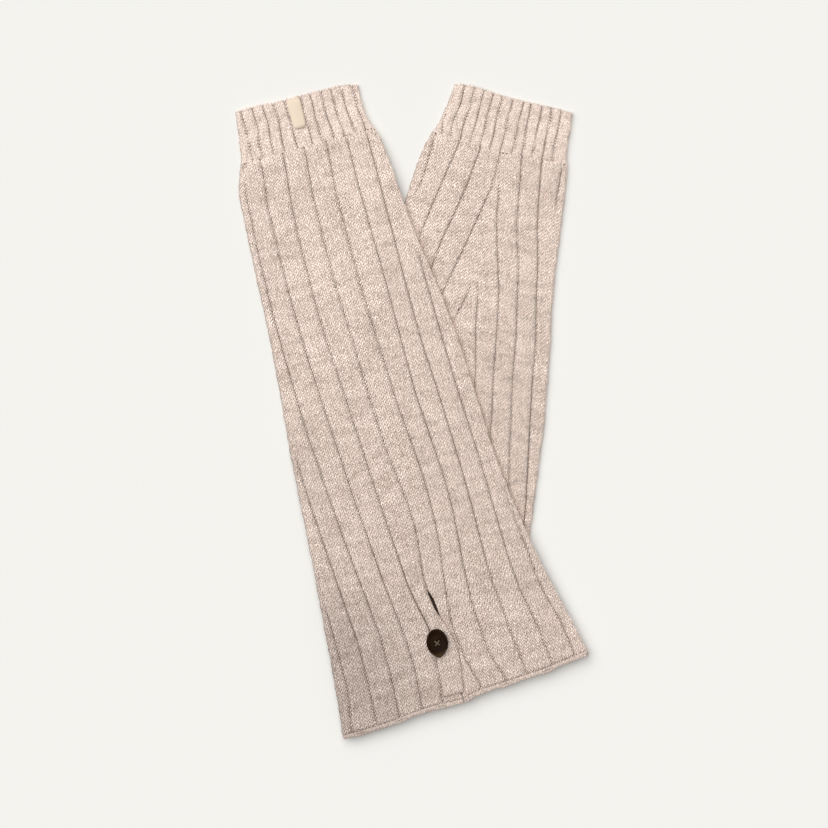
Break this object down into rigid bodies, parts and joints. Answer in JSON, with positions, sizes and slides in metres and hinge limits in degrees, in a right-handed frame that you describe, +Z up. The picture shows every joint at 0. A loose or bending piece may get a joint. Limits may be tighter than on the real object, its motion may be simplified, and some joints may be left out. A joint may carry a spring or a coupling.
{
  "type": "pair of knitted leg warmers",
  "caption": "Pair of rib-knit leg warmers laid flat and crossed, each a footless tube with a narrow-ribbed cuff; the front one has a buttoned slit at its lower edge.",
  "frame": {"origin": "middle of the outline on the surface that the pair lies on, on the rear leg's underside", "axes": "+Y towards the cuffs, along the pair's length; +X towards the rear leg's cuff; +Z up, through the cloth"},
  "size_m": [0.2934, 0.5453, 0.0149],
  "materials": {
    "knit": "matt heathered rib knit",
    "button": "dark brown, soft sheen",
    "label": "matt woven tape"
  },
  "bodies": {
    "root": {"front_leg_body": "knit", "front_leg_cuff": "knit", "front_leg_hem": "knit", "front_leg_button_band": "knit", "rear_leg_body": "knit", "rear_leg_cuff": "knit", "front_leg_button": "button", "front_leg_label": "label"}
  },
  "joints": []
}
